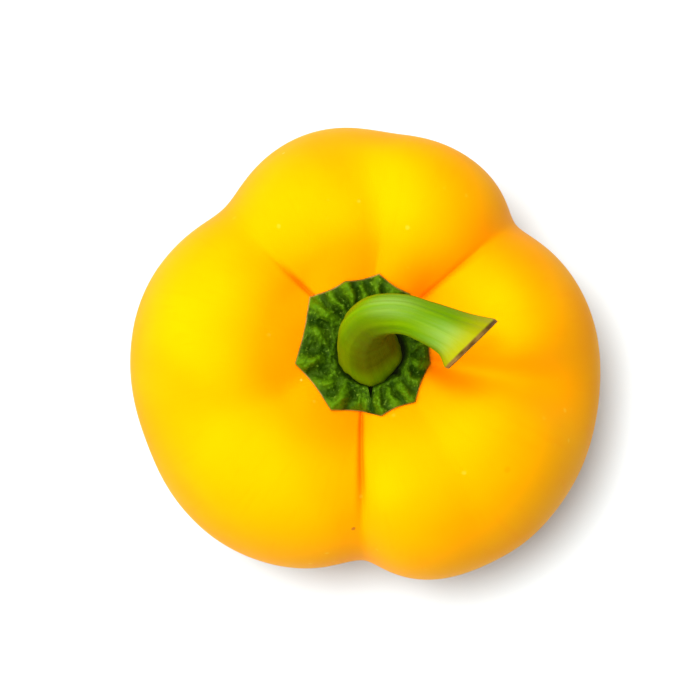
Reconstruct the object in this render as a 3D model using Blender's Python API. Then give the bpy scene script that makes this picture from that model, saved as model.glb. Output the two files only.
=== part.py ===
"""A blocky yellow bell pepper that stands on its blossom end, with its calyx and its curved, cut stem.

Run it with: blender --background --python part.py
Metres, +Z up. The origin lies on the surface the pepper stands on, under the middle of its outline.
The fruit is a squared-off sphere with a hollow at each end, drawn in by folds that run down its sides.
"""

import math
from collections import namedtuple

import bmesh
import bpy
from mathutils import Vector

MM = 0.001

# The fruit's body, before its folds draw it in.
BODY_RADIUS = 48.0 * MM
WAIST_HEIGHT = 50.0 * MM
RISE_ABOVE_WAIST = 44.0 * MM
DROP_BELOW_WAIST = 56.8 * MM
SQUARENESS = 0.77  # exponent of the sine and cosine: 1 is an ellipsoid, less is blockier
TAPER = 0.16  # share of its width that the body loses by the blossom end
WAIST_SHIFT = Vector((-0.1 * MM, -2.0 * MM))  # the middle of the waist, from the stem's axis
BASE_SHIFT = Vector((0.6 * MM, -1.6 * MM))  # the middle of the blossom end, from the stem's axis

# The hollow that the calyx sits in, and the shallower one at the blossom end. Their widths are shares of the
# body radius, and so is STEM_HOLLOW_ROUND, within which the first is rounded over.
STEM_HOLLOW_DEPTH = 35.2 * MM
STEM_HOLLOW_WIDTH = 0.372
STEM_HOLLOW_POWER = 1.43
STEM_HOLLOW_ROUND = 0.2
BASE_HOLLOW_DEPTH = 12.0 * MM
BASE_HOLLOW_WIDTH = 0.32
# How steeply the blossom end rises along +X and +Y, so that three lobes touch the surface below.
BASE_LEAN = Vector((0.006, -0.041))

# A fold draws the skin in along a line from the calyx to the blossom end. Angles are in degrees, counted
# anticlockwise from +X seen from above: where the fold leaves the calyx, where it crosses the waist, and how
# far it bows aside halfway. Its widths are how far the skin takes to swell out again, clockwise and
# anticlockwise of the line, and its crease is how far round its bottom is rounded.
Fold = namedtuple(
    "Fold",
    "at_calyx at_waist bow shoulder_depth waist_depth base_depth width_before width_after crease",
)
FOLDS = (
    Fold(40.8, 40.6, 0.0, 9.6 * MM, 7.8 * MM, 9.0 * MM, 26, 14, 4.0),
    Fold(83.0, 92.5, -3.3, 3.3 * MM, 0.4 * MM, 0.0, 5.5, 10.5, 16.0),
    Fold(84.0, 80.0, 4.0, 0.0, 3.2 * MM, 1.0 * MM, 40, 7, 16.0),
    Fold(136.7, 133.9, 1.0, 7.8 * MM, 8.6 * MM, 8.0 * MM, 22, 25, 7.0),
    Fold(209.0, 200.0, 3.5, 3.8 * MM, 1.3 * MM, 0.6 * MM, 9.5, 5.0, 27.0),
    Fold(266.0, 269.0, 0.2, 8.0 * MM, 8.6 * MM, 9.0 * MM, 25.5, 12, 4.5),
    Fold(310.0, 302.0, 2.0, 0.9 * MM, 0.4 * MM, 0.0, 6, 5.5, 10.0),
    Fold(345.0, 349.0, -0.4, 7.8 * MM, 0.4 * MM, 0.6 * MM, 5.7, 5.0, 18.0),
)
FOLD_START = 0.12  # share of the body radius where the folds begin
FOLD_FULL = 0.42  # share where they are at their full depth

# The calyx: a thin green plate. The angle of each of its tips and how far it lies from the stem's axis.
CALYX_TIPS = (
    (18, 12.8 * MM),
    (50, 12.8 * MM),
    (80, 13.8 * MM),
    (108, 12.8 * MM),
    (139, 14.2 * MM),
    (194, 13.8 * MM),
    (241, 13.8 * MM),
    (282, 13.5 * MM),
    (311, 14.0 * MM),
    (345, 12.6 * MM),
)
CALYX_GAP = 0.6 * MM  # between the calyx and the fruit under it
CALYX_EDGE = 1.0 * MM
CALYX_COLLAR = 3.4 * MM
COLLAR_RADIUS = 8.2 * MM
COLLAR_WIDTH = 3.2 * MM
RIB_HEIGHT = 0.8 * MM
RIB_WIDTH = 9.0  # degrees from the line to a tip within which its rib falls away
SEAT_RADIUS = 6.8 * MM
SEAT_SHARE = 0.4  # share of the rings, from the middle, that lie on the seat
SEAT_HEIGHT = 75.6 * MM  # the flat that the stem stands on

# The stem: where its middle passes, from the stem's axis and above the seat, and how thick it is there.
StemPoint = namedtuple("StemPoint", "x y z radius")
STEM_PATH = (
    StemPoint(0.6 * MM, -1.0 * MM, 0.3 * MM, 6.1 * MM),
    StemPoint(-0.1 * MM, 0.8 * MM, 5.5 * MM, 5.5 * MM),
    StemPoint(-0.3 * MM, 3.1 * MM, 10.5 * MM, 4.65 * MM),
    StemPoint(2.1 * MM, 5.4 * MM, 14.4 * MM, 4.0 * MM),
    StemPoint(6.9 * MM, 5.7 * MM, 16.2 * MM, 3.8 * MM),
    StemPoint(11.1 * MM, 4.3 * MM, 16.6 * MM, 4.0 * MM),
    StemPoint(16.0 * MM, 2.1 * MM, 16.6 * MM, 4.9 * MM),
    StemPoint(24.0 * MM, -2.3 * MM, 16.5 * MM, 8.6 * MM),
)
CUT_POINT = Vector((19.8 * MM, 0.0 * MM, 16.6 * MM))
CUT_DIRECTION = Vector((math.cos(math.radians(-46)), math.sin(math.radians(-46)), 0.03))

# How finely each surface is divided.
STEPS_AROUND = 96
FRUIT_RINGS = 44
CALYX_RINGS = 20
STEM_STEPS = 4
STEM_SIDES = 6
WELD_DISTANCE = 0.01 * MM

COLLECTION = "bell_pepper"


def clear_scene():
    for obj in list(bpy.data.objects):
        bpy.data.objects.remove(obj, do_unlink=True)


def smooth_step(low, high, value):
    share = min(max((value - low) / (high - low), 0.0), 1.0)
    return share * share * (3 - 2 * share)


def mix(a, b, share):
    return a + (b - a) * share


def signed_power(value, exponent):
    return math.copysign(abs(value) ** exponent, value)


def fold_line(fold, across, up):
    """The angle at which a fold runs where the skin lies this share of the body radius from the axis."""
    toward_waist = smooth_step(0.2, 0.9, across) if up > 0 else 1.0
    bowed = fold.bow * 4 * toward_waist * (1 - toward_waist)
    return mix(fold.at_calyx, fold.at_waist, toward_waist) + bowed


def fold_share(fold, offset, on_shoulder):
    """How deep in the fold a place is: 1 on the fold's line, falling to 0 at a wide angle from it."""
    width = fold.width_after if offset > 0 else fold.width_before
    crease = mix(fold.crease, 0.5 * fold.crease, on_shoulder)
    return math.exp((crease - math.hypot(offset, crease)) / width)


def fold_depth(across, up, azimuth):
    """How far all the folds together draw the skin in. up is 1 at the stem end and -1 at the blossom end."""
    on_shoulder = smooth_step(0.0, 0.8, up)
    at_base = smooth_step(0.0, 0.8, -up)
    at_waist = 1 - on_shoulder - at_base
    depth = 0.0
    for fold in FOLDS:
        here = (
            fold.shoulder_depth * on_shoulder
            + fold.waist_depth * at_waist
            + fold.base_depth * at_base
        )
        offset = (azimuth - fold_line(fold, across, up) + 180) % 360 - 180
        depth += here * fold_share(fold, offset, on_shoulder)
    return depth * smooth_step(FOLD_START, FOLD_FULL, across)


def fruit_point(polar, azimuth):
    """The skin at an angle from the stem end, in radians, and an angle round the fruit, in degrees."""
    out, up = math.sin(polar), math.cos(polar)
    across = out**SQUARENESS
    height = signed_power(up, SQUARENESS)
    rise = RISE_ABOVE_WAIST if up > 0 else DROP_BELOW_WAIST
    z = WAIST_HEIGHT + rise * height
    if up > 0:
        down_hollow = math.hypot(across, STEM_HOLLOW_ROUND) / STEM_HOLLOW_WIDTH
        z -= STEM_HOLLOW_DEPTH * math.exp(-(down_hollow**STEM_HOLLOW_POWER))
    else:
        z += BASE_HOLLOW_DEPTH * math.exp(-((across / BASE_HOLLOW_WIDTH) ** 2))
    radius = BODY_RADIUS * across * (1 - TAPER * smooth_step(0.0, 1.4, -up))

    drawn_in = fold_depth(across, up, azimuth)
    radius -= drawn_in * out
    z -= drawn_in * up

    end_shift = Vector((0, 0)) if up > 0 else BASE_SHIFT
    middle = mix(WAIST_SHIFT, end_shift, smooth_step(0.0, 1.0, abs(up)))
    turn = math.radians(azimuth)
    place = middle + Vector((math.cos(turn), math.sin(turn))) * radius
    z += place.dot(BASE_LEAN) * smooth_step(0.0, 0.8, -up)
    return Vector((place.x, place.y, z))


def calyx_reach(azimuth):
    """The calyx's edge, from the stem's axis: straight from each tip to the next."""
    azimuth %= 360
    for (start, near), (end, far) in zip(CALYX_TIPS, CALYX_TIPS[1:] + CALYX_TIPS[:1]):
        span = (end - start) % 360
        along = (azimuth - start) % 360
        if along <= span:
            break
    span, along = math.radians(span), math.radians(along)
    return near * far * math.sin(span) / (near * math.sin(along) + far * math.sin(span - along))


def polar_at_radius(reach):
    """The angle from the stem end at which the skin lies this far from the stem's axis."""
    return math.asin((reach / BODY_RADIUS) ** (1 / SQUARENESS))


def skin_at(place):
    """The skin's point in the stem hollow at a place seen from above."""
    near = place.copy()
    for _ in range(4):
        polar = polar_at_radius(near.length)
        skin = fruit_point(polar, math.degrees(math.atan2(near.y, near.x)))
        near += place - skin.xy
    return skin


def rib_share(azimuth):
    """1 along a line from the stem to a tip of the calyx, 0 midway between two lines."""
    nearest = min(abs((azimuth - tip + 180) % 360 - 180) for tip, _ in CALYX_TIPS)
    return math.exp(-((nearest / RIB_WIDTH) ** 2))


def calyx_point(polar, azimuth):
    """A unit sphere's point carried to the calyx: its lower half lies along the fruit, the upper on top."""
    from_middle = 1 - abs(1 - polar / (math.pi / 2))
    outward = max(0.0, (from_middle - SEAT_SHARE) / (1 - SEAT_SHARE))
    reach = SEAT_RADIUS * min(from_middle / SEAT_SHARE, 1.0)
    reach = mix(reach, calyx_reach(azimuth), outward)
    turn = math.radians(azimuth)
    place = Vector((math.cos(turn), math.sin(turn))) * reach
    place += Vector((STEM_PATH[0].x, STEM_PATH[0].y)) * (1 - outward)
    skin = skin_at(place)
    under = skin.z + CALYX_GAP
    if polar > math.pi / 2:
        return Vector((skin.x, skin.y, under))
    if outward == 0:
        return Vector((skin.x, skin.y, SEAT_HEIGHT))
    collar = math.exp(-(((reach - COLLAR_RADIUS) / COLLAR_WIDTH) ** 2))
    thickness = mix(CALYX_EDGE, CALYX_COLLAR, collar) + RIB_HEIGHT * rib_share(azimuth)
    return Vector((skin.x, skin.y, under + thickness * (1 - outward**8)))


def reshaped_sphere(name, rings, shape):
    """A sphere whose every point is carried to shape(angle from the top, degrees round)."""
    mesh = bpy.data.meshes.new(name)
    bm = bmesh.new()
    bmesh.ops.create_uvsphere(bm, u_segments=STEPS_AROUND, v_segments=rings, radius=1)
    for vertex in bm.verts:
        x, y, z = vertex.co
        vertex.co = shape(math.acos(max(-1.0, min(1.0, z))), math.degrees(math.atan2(y, x)))
    return mesh, bm


def cut_flat(bm, point, direction):
    """Removes what lies past a plane and closes each hole with one flat face."""
    everything = bm.verts[:] + bm.edges[:] + bm.faces[:]
    cut = bmesh.ops.bisect_plane(bm, geom=everything, plane_co=point, plane_no=direction, clear_outer=True)
    rims = [item for item in cut["geom_cut"] if isinstance(item, bmesh.types.BMEdge)]
    bmesh.ops.holes_fill(bm, edges=rims)


def finish_mesh(mesh, bm, crease_angle):
    bmesh.ops.recalc_face_normals(bm, faces=bm.faces)
    bm.to_mesh(mesh)
    bm.free()
    mesh.shade_smooth()
    mesh.set_sharp_from_angle(angle=math.radians(crease_angle))


def add_part(mesh, colour, roughness, parent):
    obj = bpy.data.objects.new(mesh.name, mesh)
    material = bpy.data.materials.new(mesh.name)
    material.use_nodes = True
    shader = material.node_tree.nodes["Principled BSDF"]
    shader.inputs["Base Color"].default_value = (*colour, 1)
    shader.inputs["Roughness"].default_value = roughness
    shader.inputs["Metallic"].default_value = 0
    mesh.materials.append(material)
    bpy.data.collections[COLLECTION].objects.link(obj)
    obj.parent = parent
    return obj


def build_fruit():
    mesh, bm = reshaped_sphere("fruit", FRUIT_RINGS, fruit_point)
    cut_flat(bm, (0, 0, 0), (0, 0, -1))
    finish_mesh(mesh, bm, 60)
    return mesh


def build_calyx():
    mesh, bm = reshaped_sphere("calyx", CALYX_RINGS, calyx_point)
    finish_mesh(mesh, bm, 60)
    return mesh


def stem_curve():
    """A smooth tube through the stem's points, longer than the stem, which is then cut."""
    curve = bpy.data.curves.new("stem_line", "CURVE")
    curve.dimensions = "3D"
    curve.resolution_u = STEM_STEPS
    curve.bevel_depth = 1 * MM
    curve.bevel_resolution = STEM_SIDES
    curve.use_fill_caps = True
    spline = curve.splines.new("BEZIER")
    spline.bezier_points.add(len(STEM_PATH) - 1)
    for point, place in zip(spline.bezier_points, STEM_PATH):
        point.co = (place.x, place.y, SEAT_HEIGHT + place.z)
        point.radius = place.radius / curve.bevel_depth
        point.handle_left_type = point.handle_right_type = "AUTO"
    foot = spline.bezier_points[0]
    foot.handle_right_type = foot.handle_left_type = "FREE"
    foot.handle_left = foot.co - Vector((0, 0, 2 * MM))
    foot.handle_right = foot.co + Vector((0, 0, 2 * MM))
    return bpy.data.objects.new("stem_line", curve)


def build_stem():
    line = stem_curve()
    bpy.context.scene.collection.objects.link(line)
    evaluated = line.evaluated_get(bpy.context.evaluated_depsgraph_get())
    mesh = bpy.data.meshes.new_from_object(evaluated)
    mesh.name = "stem"
    bpy.data.objects.remove(line)
    bm = bmesh.new()
    bm.from_mesh(mesh)
    bmesh.ops.remove_doubles(bm, verts=bm.verts, dist=WELD_DISTANCE)
    cut_flat(bm, CUT_POINT + Vector((0, 0, SEAT_HEIGHT)), CUT_DIRECTION)
    finish_mesh(mesh, bm, 50)
    mesh.materials.clear()
    return mesh


def middle_of(mesh):
    """The middle of a mesh's outline seen from above."""
    xs = [vertex.co.x for vertex in mesh.vertices]
    ys = [vertex.co.y for vertex in mesh.vertices]
    return Vector(((min(xs) + max(xs)) / 2, (min(ys) + max(ys)) / 2, 0))


def main():
    clear_scene()
    bpy.context.scene.collection.children.link(bpy.data.collections.new(COLLECTION))
    stem_axis = bpy.data.objects.new("stem_axis", None)
    bpy.data.collections[COLLECTION].objects.link(stem_axis)
    fruit = build_fruit()
    stem_axis.location = -middle_of(fruit)
    add_part(fruit, (0.95, 0.47, 0.004), 0.28, stem_axis)
    add_part(build_calyx(), (0.06, 0.17, 0.01), 0.55, stem_axis)
    add_part(build_stem(), (0.27, 0.46, 0.03), 0.42, stem_axis)


main()
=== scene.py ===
"""The looks of the bell pepper: its skin, calyx and stem on fine meshes, on a pale floor in soft light.

The three shapes follow the same rules as the CAD solids that they stand for. They add what the solids
leave out: pinched creases, a faintly uneven skin, the calyx's folds, crumples, lip and cracks, and the
stem's ridges.
Lengths are in metres, heights from the floor, and angles round the pepper in degrees anticlockwise from +X.
"""

import math
from collections import namedtuple

import bmesh
import bpy
import numpy as np
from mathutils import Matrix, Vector, noise


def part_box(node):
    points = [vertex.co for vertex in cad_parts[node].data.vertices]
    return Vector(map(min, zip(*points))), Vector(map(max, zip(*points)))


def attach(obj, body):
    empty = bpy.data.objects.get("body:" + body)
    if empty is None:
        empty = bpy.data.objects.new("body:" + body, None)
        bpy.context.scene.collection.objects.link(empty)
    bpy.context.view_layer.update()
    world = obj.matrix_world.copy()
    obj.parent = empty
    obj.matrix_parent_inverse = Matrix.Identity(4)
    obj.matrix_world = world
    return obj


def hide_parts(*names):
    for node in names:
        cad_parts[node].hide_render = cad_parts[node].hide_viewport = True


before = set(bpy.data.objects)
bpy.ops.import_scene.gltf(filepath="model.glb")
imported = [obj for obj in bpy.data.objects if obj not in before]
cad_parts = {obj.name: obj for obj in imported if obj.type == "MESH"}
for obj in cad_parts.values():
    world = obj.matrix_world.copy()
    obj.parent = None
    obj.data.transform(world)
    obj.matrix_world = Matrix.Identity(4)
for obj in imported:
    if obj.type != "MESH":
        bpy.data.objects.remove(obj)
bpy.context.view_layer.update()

MM = 0.001

# The fruit's body, as in the CAD.
BODY_RADIUS = 48.0 * MM
WAIST_HEIGHT = 50.0 * MM
RISE_ABOVE_WAIST = 44.0 * MM
DROP_BELOW_WAIST = 56.8 * MM
SQUARENESS = 0.77
TAPER = 0.16
WAIST_SHIFT = (-0.1 * MM, -2.0 * MM)
BASE_SHIFT = (0.6 * MM, -1.6 * MM)
STEM_HOLLOW_DEPTH = 35.2 * MM
STEM_HOLLOW_WIDTH = 0.372
STEM_HOLLOW_POWER = 1.43
STEM_HOLLOW_ROUND = 0.2
BASE_HOLLOW_DEPTH = 12.0 * MM
BASE_HOLLOW_WIDTH = 0.32
BASE_LEAN = (0.006, -0.041)

# The folds, as in the CAD: the angles where each leaves the calyx and crosses the waist, how far it bows
# aside between them, its depth at three heights, how wide it is on either side, and how rounded its bottom
# is. Some have a sharp pinch along the bottom: its depth, and the share of the body radius where it ends.
Fold = namedtuple(
    "Fold",
    "at_calyx at_waist bow shoulder_depth waist_depth base_depth width_before width_after crease pinch "
    "pinch_end",
)
FOLDS = (
    Fold(40.8, 40.6, 0.0, 9.6 * MM, 7.8 * MM, 9.0 * MM, 26, 14, 4.0, 1.0 * MM, 0.9),
    Fold(83.0, 92.5, -3.3, 3.3 * MM, 0.4 * MM, 0.0, 5.5, 10.5, 16.0, 0.2 * MM, 0.5),
    Fold(84.0, 80.0, 4.0, 0.0, 3.2 * MM, 1.0 * MM, 40, 7, 16.0, 0.0, 0.5),
    Fold(136.7, 133.9, 1.0, 7.8 * MM, 8.6 * MM, 8.0 * MM, 22, 25, 7.0, 1.3 * MM, 0.66),
    Fold(209.0, 200.0, 3.5, 3.8 * MM, 1.3 * MM, 0.6 * MM, 9.5, 5.0, 27.0, 0.0, 0.5),
    Fold(266.0, 269.0, 0.2, 8.0 * MM, 8.6 * MM, 9.0 * MM, 25.5, 12, 4.5, 1.4 * MM, 0.92),
    Fold(310.0, 302.0, 2.0, 0.9 * MM, 0.4 * MM, 0.0, 6, 5.5, 10.0, 0.0, 0.5),
    Fold(345.0, 349.0, -0.4, 7.8 * MM, 0.4 * MM, 0.6 * MM, 5.7, 5.0, 18.0, 0.0, 0.5),
)
FOLD_START = 0.12  # share of the body radius where the folds begin
FOLD_FULL = 0.42  # share where they are at their full depth
FULL_FOLD = 9 * MM  # a depth that counts as 1 in the mark that paints shade into the folds
PINCH_WIDTH = 1.6
UNEVENNESS = 0.25 * MM
UNEVEN_SPAN = 16 * MM
# Small marks on the skin: the place of each from the stem's axis, its radius, and its colour.
SkinMark = namedtuple("SkinMark", "x y radius colour")
SKIN_MARKS = (
    SkinMark(-2.4 * MM, -34.4 * MM, 0.6 * MM, (0.55, 0.17, 0.01, 1)),
    SkinMark(-12.2 * MM, -6.4 * MM, 0.3 * MM, (0.95, 0.45, 0.05, 1)),
    SkinMark(-15.6 * MM, 36.5 * MM, 0.4 * MM, (0.95, 0.50, 0.08, 1)),
    SkinMark(26.3 * MM, -23.1 * MM, 0.9 * MM, (0.93, 0.33, 0.0, 1)),
)
SCAR_WIDTH = 0.05  # share of the body radius covered by the blossom scar
SCAR_RISE = 0.6 * MM

CALYX_TIPS = (
    (18, 12.8 * MM),
    (50, 12.8 * MM),
    (80, 13.8 * MM),
    (108, 12.8 * MM),
    (139, 14.2 * MM),
    (194, 13.8 * MM),
    (241, 13.8 * MM),
    (282, 13.5 * MM),
    (311, 14.0 * MM),
    (345, 12.6 * MM),
)
CALYX_GAP = 0.2 * MM  # between the calyx and the fruit under it
CALYX_EDGE = 0.9 * MM  # thickness near the edge, and in the collar round the stem
CALYX_COLLAR = 3.3 * MM
COLLAR_WIDTH = 4.2 * MM
RIB_HEIGHT = 1.6 * MM
RIB_WIDTH = 8.0
FOLD_HEIGHT = 0.9 * MM  # of the folds that run outward
CRUMPLE_HEIGHT = 1.2 * MM
CRUMPLES = ((0.45, 1.9 * MM, 2), (0.3, 0.9 * MM, 3), (0.2, 0.4 * MM, 4))  # share, span and seed
THINNEST = 0.35 * MM
SEAT_RADIUS = 6.4 * MM  # of the flat that the stem stands on
SEAT_HEIGHT = 75.6 * MM
SEAT_SHARE = 0.16  # share of the rings, from the middle, that lie on the seat
LIP_WIDTH = 0.5 * MM
# Where the crack between the stem and the calyx opens: angle, extra width, and half the angle it takes up.
WIDEST_CRACK = 272
CRACKS = ((0, 0.8 * MM, 30), (322, 0.7 * MM, 6), (WIDEST_CRACK, 2.2 * MM, 2.6))

StemPoint = namedtuple("StemPoint", "x y z radius")
STEM_PATH = (
    StemPoint(0.6 * MM, -1.0 * MM, 0.3 * MM, 6.0 * MM),
    StemPoint(-0.1 * MM, 0.8 * MM, 5.5 * MM, 5.35 * MM),
    StemPoint(-0.3 * MM, 3.1 * MM, 10.5 * MM, 4.5 * MM),
    StemPoint(2.1 * MM, 5.4 * MM, 14.4 * MM, 3.9 * MM),
    StemPoint(6.9 * MM, 5.7 * MM, 16.2 * MM, 3.7 * MM),
    StemPoint(11.1 * MM, 4.3 * MM, 16.6 * MM, 3.9 * MM),
    StemPoint(16.0 * MM, 2.1 * MM, 16.6 * MM, 4.7 * MM),
    StemPoint(19.6 * MM, 0.0 * MM, 16.6 * MM, 6.6 * MM),
)
CUT_DIRECTION = np.array((math.cos(math.radians(-46)), math.sin(math.radians(-46)), 0.03))
# The ways that the stem's two painted highlights face: one on its bend, one on the flank before the cut.
HIGHLIGHT_BEND = np.array((0.0, 0.5, 0.87))
HIGHLIGHT_FLANK = np.array((-0.1, -0.3, 0.95))
STEM_RIDGES = 5
RIDGE_SHARE = 0.03
ROUGH_SHARE = 0.04
WRINKLE_SHARE = 0.012
FOOT_SHARE = 0.05  # share of the stem's rings that lie on its foot, and on the face where it was cut
CUT_SHARE = 0.12
CUT_DISH = 0.7 * MM
CUT_ROUGHNESS = 0.25 * MM

# How finely each surface is divided: steps round it, and steps from its top to its bottom.
FRUIT_STEPS = (400, 200)
CALYX_STEPS = (288, 96)
STEM_STEPS = (96, 220)

# Colours, linear, as red, green, blue and 1.
SKIN_LIGHT = (0.95, 0.392, 0.0, 1)
SKIN_DEEP = (0.95, 0.342, 0.0, 1)
SKIN_STREAK = (0.95, 0.31, 0.0, 1)
SKIN_SHADE_BY_CALYX = (0.92, 0.26, 0.0, 1)
SKIN_FOLD_SHADE = (0.93, 0.29, 0.0, 1)
SKIN_PINCH_SHADE = (0.80, 0.16, 0.0, 1)
SKIN_DOT = (1.0, 0.62, 0.06, 1)
SKIN_SCAR = (0.16, 0.07, 0.02, 1)
CALYX_DARK = (0.010, 0.034, 0.0005, 1)
CALYX_GREEN = (0.024, 0.058, 0.001, 1)
CALYX_LIT_RIDGE = (0.066, 0.155, 0.001, 1)
CALYX_GLINT = (0.15, 0.24, 0.02, 1)
CALYX_CRACK_SHADE = (0.001, 0.002, 0.0005, 1)
CALYX_RIM = (0.60, 0.48, 0.13, 1)
STEM_GREEN = (0.105, 0.225, 0.0, 1)
STEM_FRESH = (0.14, 0.26, 0.0, 1)
STEM_HIGHLIGHT = (0.30, 0.46, 0.13, 1)
STEM_SIDE = (0.20, 0.19, 0.002, 1)
STEM_TIP = (0.34, 0.31, 0.0005, 1)
STEM_INNER_SHADE = (0.070, 0.080, 0.0005, 1)
PITH_DARK = (0.42, 0.40, 0.16, 1)
PITH_LIGHT = (0.58, 0.56, 0.30, 1)
BARK_DARK = (0.06, 0.022, 0.002, 1)
BARK_LIGHT = (0.26, 0.14, 0.03, 1)
FLOOR_DARK = (0.60, 0.64, 0.65, 1)
FLOOR_LIGHT = (0.62, 0.66, 0.67, 1)

WORLD_BRIGHTNESS = 0.12
FLOOR_RADIUS = 6
FLOOR_DROP = 0.1 * MM  # keeps the floor clear of the feet
LOOK_AT = Vector((0, 0, WAIST_HEIGHT))
SENSOR_WIDTH = 36
CAMERA_DISTANCE = 1.0  # above the waist
VIEW_WIDTH = 134.9 * MM  # what the picture spans at the waist
VIEW_MIDDLE = (-3.0 * MM, 0.75 * MM)


def smooth_step(low, high, value):
    share = np.clip((value - low) / (high - low), 0, 1)
    return share * share * (3 - 2 * share)


def mix(a, b, share):
    return a + (b - a) * share


def turned(azimuth, line):
    """The angle from a line to an azimuth, between -180 and 180 degrees."""
    return (azimuth - line + 180) % 360 - 180


def bell(value, width):
    return np.exp(-((value / width) ** 2))


def uneven(points, span, seed=0):
    """A smooth, repeatable unevenness between about -1 and 1 that changes over the span given."""
    shift = Vector((seed * 17.3, seed * 5.1, seed * 29.7))
    return np.array([noise.noise(Vector(point) / span + shift) for point in points])


def from_fold(fold, azimuth, across, up):
    """The angle from a fold's line, which runs in a slight bow from the calyx to the waist."""
    toward_waist = np.where(up > 0, smooth_step(0.2, 0.9, across), 1)
    bowed = fold.bow * 4 * toward_waist * (1 - toward_waist)
    return turned(azimuth, mix(fold.at_calyx, fold.at_waist, toward_waist) + bowed)


def fold_share(fold, offset, on_shoulder):
    width = np.where(offset > 0, fold.width_after, fold.width_before)
    crease = mix(fold.crease, 0.5 * fold.crease, on_shoulder)
    return np.exp((crease - np.hypot(offset, crease)) / width)


def pinch_share(fold, offset, across):
    return bell(offset, PINCH_WIDTH) * (1 - smooth_step(0.6 * fold.pinch_end, fold.pinch_end, across))


def fruit_surface(polar, azimuth):
    """The skin's points, and how far each lies in a fold, in a pinch and in the blossom scar."""
    out, up = np.sin(polar), np.cos(polar)
    across = np.clip(out, 0, 1) ** SQUARENESS
    on_shoulder = smooth_step(0.0, 0.8, up)
    at_base = smooth_step(0.0, 0.8, -up)
    at_waist = 1 - on_shoulder - at_base
    begun = smooth_step(FOLD_START, FOLD_FULL, across)

    depth = np.zeros_like(polar)
    pinched = np.zeros_like(polar)
    for fold in FOLDS:
        offset = from_fold(fold, azimuth, across, up)
        here = fold.shoulder_depth * on_shoulder + fold.waist_depth * at_waist + fold.base_depth * at_base
        depth += here * fold_share(fold, offset, on_shoulder) * begun
        pinched += fold.pinch * pinch_share(fold, offset, across) * begun * (1 - at_base)

    rise = np.where(up > 0, RISE_ABOVE_WAIST, DROP_BELOW_WAIST)
    z = WAIST_HEIGHT + rise * np.sign(up) * np.abs(up) ** SQUARENESS
    down_hollow = np.hypot(across, STEM_HOLLOW_ROUND) / STEM_HOLLOW_WIDTH
    z -= np.where(up > 0, STEM_HOLLOW_DEPTH * np.exp(-(down_hollow**STEM_HOLLOW_POWER)), 0)
    z += np.where(up < 0, BASE_HOLLOW_DEPTH * np.exp(-((across / BASE_HOLLOW_WIDTH) ** 2)), 0)
    radius = BODY_RADIUS * across * (1 - TAPER * smooth_step(0.0, 1.4, -up))

    scar = np.where(up < 0, bell(across, SCAR_WIDTH), 0)
    drawn_in = depth + pinched
    radius = radius - drawn_in * out
    z = z - drawn_in * up - SCAR_RISE * scar

    middle_share = smooth_step(0.0, 1.0, np.abs(up))
    turn = np.radians(azimuth)
    end_x = np.where(up > 0, 0, BASE_SHIFT[0])
    end_y = np.where(up > 0, 0, BASE_SHIFT[1])
    x = mix(WAIST_SHIFT[0], end_x, middle_share) + radius * np.cos(turn)
    y = mix(WAIST_SHIFT[1], end_y, middle_share) + radius * np.sin(turn)
    z = z + (x * BASE_LEAN[0] + y * BASE_LEAN[1]) * at_base
    marks = {
        "fold": depth / FULL_FOLD,
        "pinch": pinched / MM,
        "scar": scar,
        "across": np.where(up > 0, across, 2 - across),
    }
    return np.stack((x, y, z), axis=1), marks


def along_meridians(azimuth, polar):
    """A place for streaks from stem to blossom end: it changes fast round the fruit and slowly along it."""
    turn = np.radians(azimuth)
    return np.stack((9 * np.cos(turn), 9 * np.sin(turn), 1.5 * polar), axis=1)


def fruit_shape(polar, azimuth):
    points, marks = fruit_surface(polar, azimuth)
    out, turn = np.sin(polar), np.radians(azimuth)
    outward = np.stack((out * np.cos(turn), out * np.sin(turn), np.cos(polar)), axis=1)
    away_from_ends = smooth_step(0.25, 0.6, out)
    points += outward * (UNEVENNESS * uneven(points, UNEVEN_SPAN) * away_from_ends)[:, None]
    points[:, 2] = np.maximum(points[:, 2], 0)
    marks["grain"] = along_meridians(azimuth, polar)
    return points, marks


def polar_at_radius(reach):
    return np.arcsin(np.clip(reach / BODY_RADIUS, 0, 1) ** (1 / SQUARENESS))


def skin_under(x, y):
    """The skin's point at a place in the stem hollow, given from the stem's axis."""
    near_x, near_y = x, y
    for _ in range(4):
        polar = polar_at_radius(np.hypot(near_x, near_y))
        points, _ = fruit_surface(polar, np.degrees(np.arctan2(near_y, near_x)))
        near_x = near_x + x - points[:, 0]
        near_y = near_y + y - points[:, 1]
    return points


def calyx_reach(azimuth):
    """The calyx's edge from the stem's axis: from each tip to the next, drawn in a little between them."""
    azimuth = azimuth % 360
    reach = np.zeros_like(azimuth)
    for (start, near), (end, far) in zip(CALYX_TIPS, CALYX_TIPS[1:] + CALYX_TIPS[:1]):
        span = (end - start) % 360
        along = (azimuth - start) % 360
        inside = along <= span
        a = np.radians(along)
        s = math.radians(span)
        line = near * far * math.sin(s) / (near * np.sin(a) + far * np.sin(s - a))
        drawn = 1 - 0.03 * np.sin(np.pi * along / span)
        reach = np.where(inside, line * drawn, reach)
    return reach


def corrugation(azimuth, wobble):
    """Folds that run outward: a ridge at each tip and one between, 1 on a ridge and -1 in a valley."""
    lines = [tip for tip, _ in CALYX_TIPS]
    lines.append(lines[0] + 360)
    place = np.interp(lines[0] + (azimuth - lines[0]) % 360, lines, np.arange(len(lines)))
    return np.cos(4 * np.pi * place + wobble)


def rib_share(azimuth):
    nearest = np.min([np.abs(turned(azimuth, tip)) for tip, _ in CALYX_TIPS], axis=0)
    return bell(nearest, RIB_WIDTH)


def crack_width(azimuth):
    return sum(width * bell(turned(azimuth, line), half) for line, width, half in CRACKS)


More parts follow.
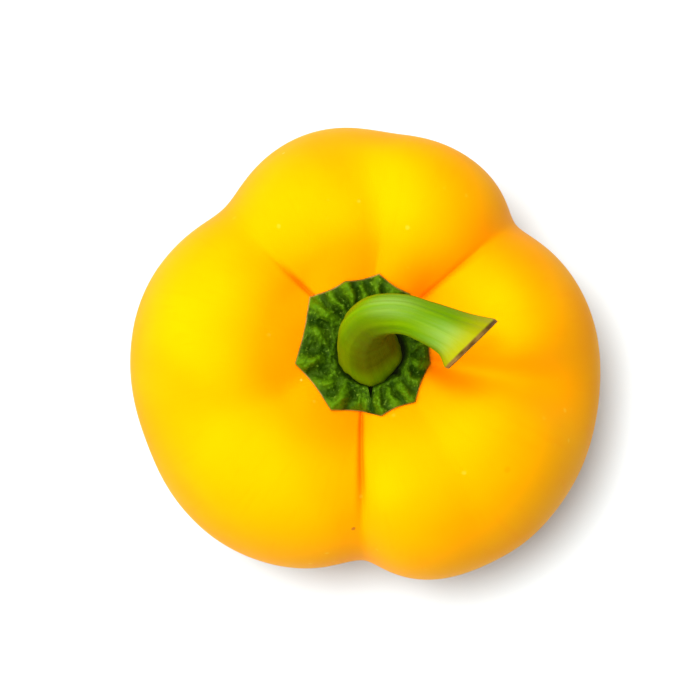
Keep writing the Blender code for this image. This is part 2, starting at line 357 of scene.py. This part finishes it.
def calyx_shape(polar, azimuth):
    """The calyx: its lower half lies along the fruit, and the upper has a seat, a lip, ribs and folds."""
    on_top = polar <= math.pi / 2
    from_middle = 1 - np.abs(1 - polar / (math.pi / 2))
    turn = np.radians(azimuth)
    outward = np.clip((from_middle - SEAT_SHARE) / (1 - SEAT_SHARE), 0, 1)
    inner = SEAT_RADIUS + crack_width(azimuth)
    reach = inner * np.minimum(from_middle / SEAT_SHARE, 1)
    reach = mix(reach, calyx_reach(azimuth), outward)
    centred = 1 - outward
    x = reach * np.cos(turn) + STEM_PATH[0].x * centred
    y = reach * np.sin(turn) + STEM_PATH[0].y * centred
    skin = skin_under(x, y)

    lip = np.clip((reach - inner) / LIP_WIDTH, 0, 1)
    lip = np.sqrt(1 - (1 - lip) ** 2)
    collar = bell(reach - inner, COLLAR_WIDTH)
    ribs = rib_share(azimuth + 6 * uneven(skin, 5 * MM, 1)) * smooth_step(0.15, 0.6, outward)
    crumple = sum(share * uneven(skin, span, seed) for share, span, seed in CRUMPLES)
    folded = corrugation(azimuth, 2.2 * uneven(skin, 3.2 * MM, 5)) * (0.8 + 0.8 * uneven(skin, 2.4 * MM, 8))
    folded *= smooth_step(0.05, 0.5, outward)
    flatter = 1 - 0.6 * smooth_step(0.5, 1.0, outward)
    height = mix(CALYX_EDGE, CALYX_COLLAR, collar)
    height += (RIB_HEIGHT * (ribs - 0.25) + CRUMPLE_HEIGHT * crumple + FOLD_HEIGHT * folded) * flatter
    edge = np.sqrt(np.clip(1 - outward**10, 0, 1))
    top = mix(SEAT_HEIGHT, skin[:, 2] + CALYX_GAP + np.maximum(height, THINNEST) * edge, lip)
    under = skin[:, 2] + CALYX_GAP
    z = np.where(on_top, top, under)
    points = np.stack((skin[:, 0], skin[:, 1], z), axis=1)
    marks = {
        # The rib mark follows the relief's height; the material paints light on the ridges and shade between
        # them.
        "rib": np.where(on_top, np.clip(0.4 + 0.2 * (ribs - 0.3) + 0.45 * crumple + 0.36 * folded, 0, 1), 0),
        "rim": np.where(on_top, smooth_step(0.965, 0.99, outward), 1),
        "crack": np.where(on_top, 1 - lip, 0),
    }
    return points, marks


def stem_line(count=2000):
    """The stem's middle from foot to cut, its radius, and two directions across it that turn with it."""
    path = np.array(STEM_PATH)
    steps = np.linspace(0, len(path) - 1, count)
    slopes = np.gradient(path, axis=0)
    slopes[0, :2] = 0
    first = np.minimum(steps.astype(int), len(path) - 2)
    t = (steps - first)[:, None]
    a, b = path[first], path[first + 1]
    m, n = slopes[first], slopes[first + 1]
    line = (
        (2 * t**3 - 3 * t**2 + 1) * a
        + (t**3 - 2 * t**2 + t) * m
        + (3 * t**2 - 2 * t**3) * b
        + (t**3 - t**2) * n
    )
    middle, radius = line[:, :3], line[:, 3]
    middle[:, 2] += SEAT_HEIGHT
    heading = np.gradient(middle, axis=0)
    heading /= np.linalg.norm(heading, axis=1)[:, None]
    side = np.empty_like(middle)
    side[0] = (1, 0, 0)
    for i in range(1, count):
        side[i] = side[i - 1] - heading[i] * np.dot(side[i - 1], heading[i])
        side[i] /= np.linalg.norm(side[i])
    return middle, radius, heading, side, np.cross(heading, side)


def stem_shape(polar, azimuth):
    """The stem: a flat foot, a ridged side that flares at its end, and the slanting face where it was cut."""
    up = 1 - polar / math.pi
    along = np.clip((up - FOOT_SHARE) / (1 - FOOT_SHARE - CUT_SHARE), 0, 1)
    inward = np.minimum(np.minimum(up / FOOT_SHARE, (1 - up) / CUT_SHARE), 1)
    on_cut = up > 1 - CUT_SHARE
    line = stem_line()
    nearest = np.rint(along * (len(line[0]) - 1)).astype(int)
    middle, radius, _, side, over = (part[nearest] for part in line)

    turn = np.radians(azimuth)
    ridges = RIDGE_SHARE * np.cos(STEM_RIDGES * turn + 1.1 + 1.5 * along)
    round_stem = np.stack((2.2 * np.cos(turn), 2.2 * np.sin(turn), 1.6 * along), axis=1)
    rough = ROUGH_SHARE * uneven(round_stem, 0.5, 6)
    inside_bend = bell(along - 0.36, 0.16) * np.clip(-np.sin(turn), 0, 1)
    above_foot = smooth_step(0.03, 0.14, along) * (1 - smooth_step(0.36, 0.55, along))
    shaded = above_foot * np.clip(1.4 * np.cos(turn + 1.0), 0, 1)
    wrinkles = WRINKLE_SHARE * np.cos(along * 110) * inside_bend
    toward_crack = 0.07 * bell(turned(azimuth, WIDEST_CRACK), 28) * (1 - smooth_step(0.0, 0.2, along))
    rounded = 1 - 0.07 * smooth_step(0.965, 1.0, along)
    across = radius * inward * rounded * (1 + ridges + rough + wrinkles + toward_crack)
    facing = side * np.cos(turn)[:, None] + over * np.sin(turn)[:, None]
    offset = facing * across[:, None]
    end_heading = line[2][-1]
    slide = -(offset @ CUT_DIRECTION) / (end_heading @ CUT_DIRECTION) * smooth_step(0.72, 1.0, along)
    points = middle + offset + end_heading * slide[:, None]
    rough_cut = CUT_ROUGHNESS * uneven(points, 0.8 * MM, 7) * smooth_step(0, 0.3, 1 - inward)
    dish = CUT_DISH * (1 - inward**2) + rough_cut
    points -= CUT_DIRECTION * np.where(on_cut, dish, 0)[:, None]
    marks = {
        "along": along,
        "rim": np.where(on_cut, 1, smooth_step(0.955, 0.985, along)),
        "cut": np.where(on_cut, 1 - inward, 0),
        # The inner mark: olive tint with painted shade, inside the bend and on the foot under the neck's
        # shadow.
        "inner": np.maximum(inside_bend, shaded),
        "crest": np.clip(facing[:, 2], 0, 1),
        # The pale mark places painted highlights: two patches facing up towards the lamps.
        "pale": bell(along - 0.52, 0.11) * smooth_step(0.6, 1, facing @ HIGHLIGHT_BEND)
        + bell(along - 0.85, 0.11) * smooth_step(0.6, 1, facing @ HIGHLIGHT_FLANK),
        "grain": np.stack((3 * np.cos(turn), 3 * np.sin(turn), 1.3 * along), axis=1),
    }
    return points, marks


def gathered(azimuth):
    """Azimuths moved closer together near the main folds, so that the mesh is finest there."""
    even = np.linspace(-180, 180, 3601)
    density = 1 + 2.5 * sum(bell(turned(even, fold.at_waist), 5) for fold in FOLDS if fold.pinch > 0.5 * MM)
    total = np.concatenate(([0], np.cumsum((density[1:] + density[:-1]) / 2)))
    return np.interp((azimuth + 180) / 360 * total[-1], total, even)


def reshaped_sphere(name, steps, shape, spacing=None):
    """A sphere whose points are carried to shape(angle from the top, degrees round), with its marks."""
    mesh = bpy.data.meshes.new(name)
    bm = bmesh.new()
    bmesh.ops.create_uvsphere(bm, u_segments=steps[0], v_segments=steps[1], radius=1)
    bm.to_mesh(mesh)
    bm.free()
    count = len(mesh.vertices)
    unit = np.empty(count * 3, np.float32)
    mesh.vertices.foreach_get("co", unit)
    unit = unit.reshape(-1, 3).astype(float)
    polar = np.arccos(np.clip(unit[:, 2], -1, 1))
    azimuth = np.degrees(np.arctan2(unit[:, 1], unit[:, 0]))
    points, marks = shape(polar, spacing(azimuth) if spacing else azimuth)
    mesh.vertices.foreach_set("co", points.astype(np.float32).ravel())
    for mark, values in marks.items():
        kind, field = ("FLOAT_VECTOR", "vector") if values.ndim == 2 else ("FLOAT", "value")
        mesh.attributes.new(mark, kind, "POINT").data.foreach_set(field, values.astype(np.float32).ravel())
    mesh.shade_smooth()
    mesh.update()
    piece = bpy.data.objects.new(name, mesh)
    bpy.context.scene.collection.objects.link(piece)
    return piece


def add(tree, kind, inputs=None, **settings):
    """A shader node with its settings and inputs: each input is a value, or another node's output to link."""
    node = tree.nodes.new(kind)
    for name, value in settings.items():
        setattr(node, name, value)
    for key, value in (inputs or {}).items():
        if isinstance(value, bpy.types.NodeSocket):
            tree.links.new(value, node.inputs[key])
        else:
            node.inputs[key].default_value = value
    return node


def mark_of(tree, name, output="Fac"):
    return add(tree, "ShaderNodeAttribute", attribute_name=name).outputs[output]


def noise_of(tree, place, scale, detail=3, roughness=0.5):
    inputs = {"Vector": place, "Scale": scale, "Detail": detail, "Roughness": roughness}
    return add(tree, "ShaderNodeTexNoise", inputs).outputs[0]


def stretched(tree, value, low, high, to_low=0.0, to_high=1.0):
    """The value carried from low..high to to_low..to_high, eased at both ends and clipped past them."""
    inputs = {0: value, 1: low, 2: high, 3: to_low, 4: to_high}
    return add(tree, "ShaderNodeMapRange", inputs, interpolation_type="SMOOTHSTEP").outputs[0]


def times(tree, a, b):
    return add(tree, "ShaderNodeMath", {0: a, 1: b}, operation="MULTIPLY").outputs[0]


def plus(tree, a, b):
    return add(tree, "ShaderNodeMath", {0: a, 1: b}, operation="ADD").outputs[0]


def distance_from(tree, place, point):
    inputs = {0: place, 1: tuple(point)}
    return add(tree, "ShaderNodeVectorMath", inputs, operation="DISTANCE").outputs["Value"]


def mixed(tree, share, a, b):
    node = add(tree, "ShaderNodeMix", {0: share, 6: a, 7: b}, data_type="RGBA")
    return node.outputs[2]


def bumped(tree, height, distance, strength=1.0, below=None):
    inputs = {"Height": height, "Distance": distance, "Strength": strength}
    if below:
        inputs["Normal"] = below
    return add(tree, "ShaderNodeBump", inputs).outputs[0]


def new_material(name, **sockets):
    material = bpy.data.materials.new(name)
    material.use_nodes = True
    shader = material.node_tree.nodes["Principled BSDF"]
    for socket, value in sockets.items():
        shader.inputs[socket.replace("_", " ")].default_value = value
    return material, material.node_tree, shader


def skin_material():
    material, tree, shader = new_material(
        "pepper_skin",
        IOR=1.3,
        Specular_IOR_Level=0.02,
        Specular_Tint=(1.0, 0.75, 0.05, 1),
        Subsurface_Weight=0.1,
        Subsurface_Radius=(1.0, 0.45, 0.05),
        Subsurface_Scale=0.004,
    )
    place = add(tree, "ShaderNodeTexCoord").outputs["Object"]
    grain = mark_of(tree, "grain", "Vector")
    broad = noise_of(tree, place, 38, 2)
    streaks = noise_of(tree, grain, 2.2, 4, 0.6)
    across = mark_of(tree, "across")

    colour = mixed(tree, stretched(tree, broad, 0.35, 0.7), SKIN_LIGHT, SKIN_DEEP)
    colour = mixed(tree, stretched(tree, streaks, 0.5, 0.75, 0, 0.2), colour, SKIN_STREAK)
    # Painted shade in the hollow round the calyx: the skin turns deeper orange towards it.
    shade_near_calyx = stretched(tree, across, 0.62, 0.22)
    colour = mixed(tree, times(tree, shade_near_calyx, 0.95), colour, SKIN_SHADE_BY_CALYX)
    # Painted shade in the folds: deeper orange where they are deep.
    fold_shade = stretched(tree, mark_of(tree, "fold"), 0.45, 1.1)
    colour = mixed(tree, times(tree, fold_shade, 0.5), colour, SKIN_FOLD_SHADE)
    # Painted shade: a dark red line along the sharp pinch at the bottom of the main folds.
    pinch = mark_of(tree, "pinch")
    colour = mixed(tree, stretched(tree, pinch, 0.2, 1.3, 0, 0.7), colour, SKIN_PINCH_SHADE)

    cells = add(tree, "ShaderNodeTexVoronoi", {"Vector": place, "Scale": 260, "Randomness": 1.0})
    dots = stretched(tree, cells.outputs["Distance"], 0.16, 0.05)
    rare = stretched(tree, noise_of(tree, place, 60, 1), 0.58, 0.66)
    colour = mixed(tree, times(tree, times(tree, dots, rare), 0.35), colour, SKIN_DOT)
    for mark in SKIN_MARKS:
        middle = skin_under(np.array([mark.x]), np.array([mark.y]))[0]
        off = distance_from(tree, place, middle)
        colour = mixed(tree, stretched(tree, off, mark.radius, 0.4 * mark.radius), colour, mark.colour)
    colour = mixed(tree, stretched(tree, mark_of(tree, "scar"), 0.25, 0.7), colour, SKIN_SCAR)
    tree.links.new(colour, shader.inputs["Base Color"])

    pores = noise_of(tree, place, 900, 3)
    dull = stretched(tree, broad, 0.3, 0.7, 0.42, 0.50)
    tree.links.new(dull, shader.inputs["Roughness"])
    skin = bumped(tree, pores, 0.02 * MM)
    skin = bumped(tree, noise_of(tree, place, 160, 2), 0.1 * MM, 0.5, skin)
    tree.links.new(skin, shader.inputs["Normal"])
    return material


def calyx_material():
    material, tree, shader = new_material(
        "calyx_green",
        Specular_IOR_Level=0.08,
        Specular_Tint=(0.8, 1.0, 0.3, 1),
        Subsurface_Weight=0.05,
        Subsurface_Radius=(0.4, 1.0, 0.1),
        Subsurface_Scale=0.001,
    )
    place = add(tree, "ShaderNodeTexCoord").outputs["Object"]
    patches = noise_of(tree, place, 260, 3)
    fine = noise_of(tree, place, 1500, 4, 0.6)
    rib = plus(tree, mark_of(tree, "rib"), fine)
    colour = mixed(tree, stretched(tree, patches, 0.35, 0.7), CALYX_DARK, CALYX_GREEN)
    # Painted light and shade on the relief: lighter green on the ribs, folds and crumples, darker between
    # them.
    colour = mixed(tree, stretched(tree, rib, 0.6, 1.4), colour, CALYX_LIT_RIDGE)
    # Painted glints: small pale green specks where the fine noise peaks.
    colour = mixed(tree, stretched(tree, fine, 0.60, 0.70, 0, 0.6), colour, CALYX_GLINT)
    # Painted shade: near black on the seat inside the lip, in the crack round the stem.
    colour = mixed(tree, mark_of(tree, "crack"), colour, CALYX_CRACK_SHADE)
    rim = times(tree, mark_of(tree, "rim"), stretched(tree, patches, 0.35, 0.6, 0.25, 0.9))
    colour = mixed(tree, rim, colour, CALYX_RIM)
    tree.links.new(colour, shader.inputs["Base Color"])
    tree.links.new(stretched(tree, fine, 0.3, 0.7, 0.38, 0.6), shader.inputs["Roughness"])
    grain = bumped(tree, fine, 0.12 * MM)
    grain = bumped(tree, noise_of(tree, place, 600, 3), 0.25 * MM, 0.8, grain)
    tree.links.new(grain, shader.inputs["Normal"])
    return material


def stem_material():
    material, tree, shader = new_material(
        "stem_green",
        Specular_IOR_Level=0.04,
        Specular_Tint=(0.9, 1.0, 0.2, 1),
        Subsurface_Weight=0.12,
        Subsurface_Radius=(0.5, 1.0, 0.1),
        Subsurface_Scale=0.002,
    )
    place = add(tree, "ShaderNodeTexCoord").outputs["Object"]
    grain = mark_of(tree, "grain", "Vector")
    along = mark_of(tree, "along")
    streaks = noise_of(tree, grain, 1.3, 3, 0.5)
    threads = noise_of(tree, grain, 1.6, 3, 0.55)
    colour = mixed(tree, stretched(tree, streaks, 0.35, 0.65), STEM_GREEN, STEM_FRESH)
    # Painted highlights, streaked, on the two patches of the pale mark.
    pale = times(tree, stretched(tree, threads, 0.25, 0.75, 0.2, 1.0), mark_of(tree, "pale"))
    colour = mixed(tree, times(tree, pale, 0.42), colour, STEM_HIGHLIGHT)
    side_on = stretched(tree, mark_of(tree, "crest"), 0.35, 0.0, 0, 0.5)
    colour = mixed(tree, side_on, colour, STEM_SIDE)
    colour = mixed(tree, stretched(tree, along, 0.78, 0.98, 0, 0.8), colour, STEM_TIP)
    # Olive tint with painted shade inside the bend and on the foot under the neck.
    colour = mixed(tree, times(tree, mark_of(tree, "inner"), 0.9), colour, STEM_INNER_SHADE)
    pith_grain = stretched(tree, noise_of(tree, place, 900, 3), 0.35, 0.65)
    pith = mixed(tree, pith_grain, PITH_DARK, PITH_LIGHT)
    ring = stretched(tree, mark_of(tree, "cut"), 0.02, 0.25)
    dried = stretched(tree, noise_of(tree, place, 220, 3), 0.4, 0.62)
    bark = mixed(tree, dried, BARK_DARK, BARK_LIGHT)
    cut = mixed(tree, ring, bark, pith)
    edge = stretched(tree, mark_of(tree, "rim"), 0.3, 1.0)
    colour = mixed(tree, edge, colour, cut)
    tree.links.new(colour, shader.inputs["Base Color"])
    tree.links.new(stretched(tree, streaks, 0.3, 0.7, 0.36, 0.5), shader.inputs["Roughness"])
    skin = bumped(tree, threads, 0.06 * MM)
    skin = bumped(tree, noise_of(tree, place, 1800, 3), 0.04 * MM, 1.0, skin)
    tree.links.new(skin, shader.inputs["Normal"])
    return material


def floor_material():
    material, tree, shader = new_material("pale_floor", Specular_IOR_Level=0.2)
    place = add(tree, "ShaderNodeTexCoord").outputs["Object"]
    cloud = noise_of(tree, place, 3, 2)
    tree.links.new(mixed(tree, cloud, FLOOR_DARK, FLOOR_LIGHT), shader.inputs["Base Color"])
    tree.links.new(stretched(tree, cloud, 0.3, 0.7, 0.75, 0.85), shader.inputs["Roughness"])
    return material


def dress(piece, material, node):
    piece.data.materials.append(material)
    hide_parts(node)
    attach(piece, "root")


def add_floor():
    mesh = bpy.data.meshes.new("floor")
    bm = bmesh.new()
    bmesh.ops.create_circle(bm, cap_ends=True, segments=96, radius=FLOOR_RADIUS)
    bm.to_mesh(mesh)
    bm.free()
    floor = bpy.data.objects.new("floor", mesh)
    floor.location.z = -FLOOR_DROP
    mesh.materials.append(floor_material())
    bpy.context.scene.collection.objects.link(floor)
    return floor


def place_lamp(name, light, azimuth, elevation, distance):
    turn, rise = math.radians(azimuth), math.radians(elevation)
    toward = Vector((math.cos(turn) * math.cos(rise), math.sin(turn) * math.cos(rise), math.sin(rise)))
    lamp = bpy.data.objects.new(name, light)
    lamp.location = LOOK_AT + toward * distance
    lamp.visible_camera = False
    lamp.rotation_euler = toward.to_track_quat("Z", "Y").to_euler()
    bpy.context.scene.collection.objects.link(lamp)
    return lamp


def add_area_light(name, azimuth, elevation, distance, size, power):
    light = bpy.data.lights.new(name, "AREA")
    light.shape = "DISK"
    light.size = size
    light.energy = power
    return place_lamp(name, light, azimuth, elevation, distance)


def add_sun(name, azimuth, elevation, spread, strength):
    """Even light from one side of the sky; its spread in degrees softens the shadows."""
    light = bpy.data.lights.new(name, "SUN")
    light.angle = math.radians(spread)
    light.energy = strength
    return place_lamp(name, light, azimuth, elevation, 1)


def only_for(lamp, pieces, blockers=()):
    """Lets a lamp light these pieces alone, and lets only the blockers, if any are given, shade them."""
    lit = bpy.data.collections.new("lit_by_" + lamp.name)
    for piece in pieces:
        lit.objects.link(piece)
    lamp.light_linking.receiver_collection = lit
    if blockers:
        shading = bpy.data.collections.new("shading_" + lamp.name)
        for piece in blockers:
            shading.objects.link(piece)
        lamp.light_linking.blocker_collection = shading


def add_lights(fruit, calyx, stem, floor):
    """Two soft lamps for the pepper, and two suns for the floor: the pepper shades only the first sun."""
    window = add_area_light("window", azimuth=174, elevation=63, distance=1.2, size=2.6, power=46)
    key = add_area_light("key", azimuth=112, elevation=70, distance=1.3, size=0.5, power=9)
    overhead = add_sun("overhead", azimuth=142, elevation=81.5, spread=14, strength=4.9)
    bounce = add_sun("bounce", azimuth=0, elevation=89, spread=1, strength=0.8)
    only_for(window, (fruit, calyx, stem), blockers=(fruit, calyx))
    only_for(key, (fruit, calyx, stem))
    only_for(overhead, (floor,))
    only_for(bounce, (floor,), blockers=(floor,))


def add_world(brightness):
    """Light from all round that is dimmer than the white backdrop that the camera sees."""
    world = bpy.data.worlds.new("studio")
    world.use_nodes = True
    tree = world.node_tree
    seen = add(tree, "ShaderNodeLightPath").outputs["Is Camera Ray"]
    strength = stretched(tree, seen, 0, 1, brightness, 1)
    tree.nodes["Background"].inputs["Color"].default_value = (1, 1, 1, 1)
    tree.links.new(strength, tree.nodes["Background"].inputs["Strength"])
    bpy.context.scene.world = world


def add_camera():
    """Straight above the pepper, which stands a little right of and below the picture's middle."""
    camera = bpy.data.cameras.new("camera")
    camera.sensor_width = SENSOR_WIDTH
    camera.lens = SENSOR_WIDTH * CAMERA_DISTANCE / VIEW_WIDTH
    view = bpy.data.objects.new("camera", camera)
    view.location = (VIEW_MIDDLE[0], VIEW_MIDDLE[1], WAIST_HEIGHT + CAMERA_DISTANCE)
    bpy.context.scene.collection.objects.link(view)
    bpy.context.scene.camera = view


def line_up(fruit, calyx, stem):
    """Moves the three together, so that the fruit's middle seen from above is that of the CAD fruit."""
    low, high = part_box("fruit")
    xs = [v.co.x for v in fruit.data.vertices]
    ys = [v.co.y for v in fruit.data.vertices]
    shift = Vector(((low.x + high.x - min(xs) - max(xs)) / 2, (low.y + high.y - min(ys) - max(ys)) / 2, 0))
    for piece in (fruit, calyx, stem):
        piece.location = shift


def main():
    fruit = reshaped_sphere("pepper_fruit", FRUIT_STEPS, fruit_shape, gathered)
    calyx = reshaped_sphere("pepper_calyx", CALYX_STEPS, calyx_shape)
    stem = reshaped_sphere("pepper_stem", STEM_STEPS, stem_shape)
    line_up(fruit, calyx, stem)
    dress(fruit, skin_material(), "fruit")
    dress(calyx, calyx_material(), "calyx")
    dress(stem, stem_material(), "stem")
    floor = add_floor()
    add_world(WORLD_BRIGHTNESS)
    add_lights(fruit, calyx, stem, floor)
    add_camera()
    bpy.context.scene.view_settings.view_transform = "Standard"


main()
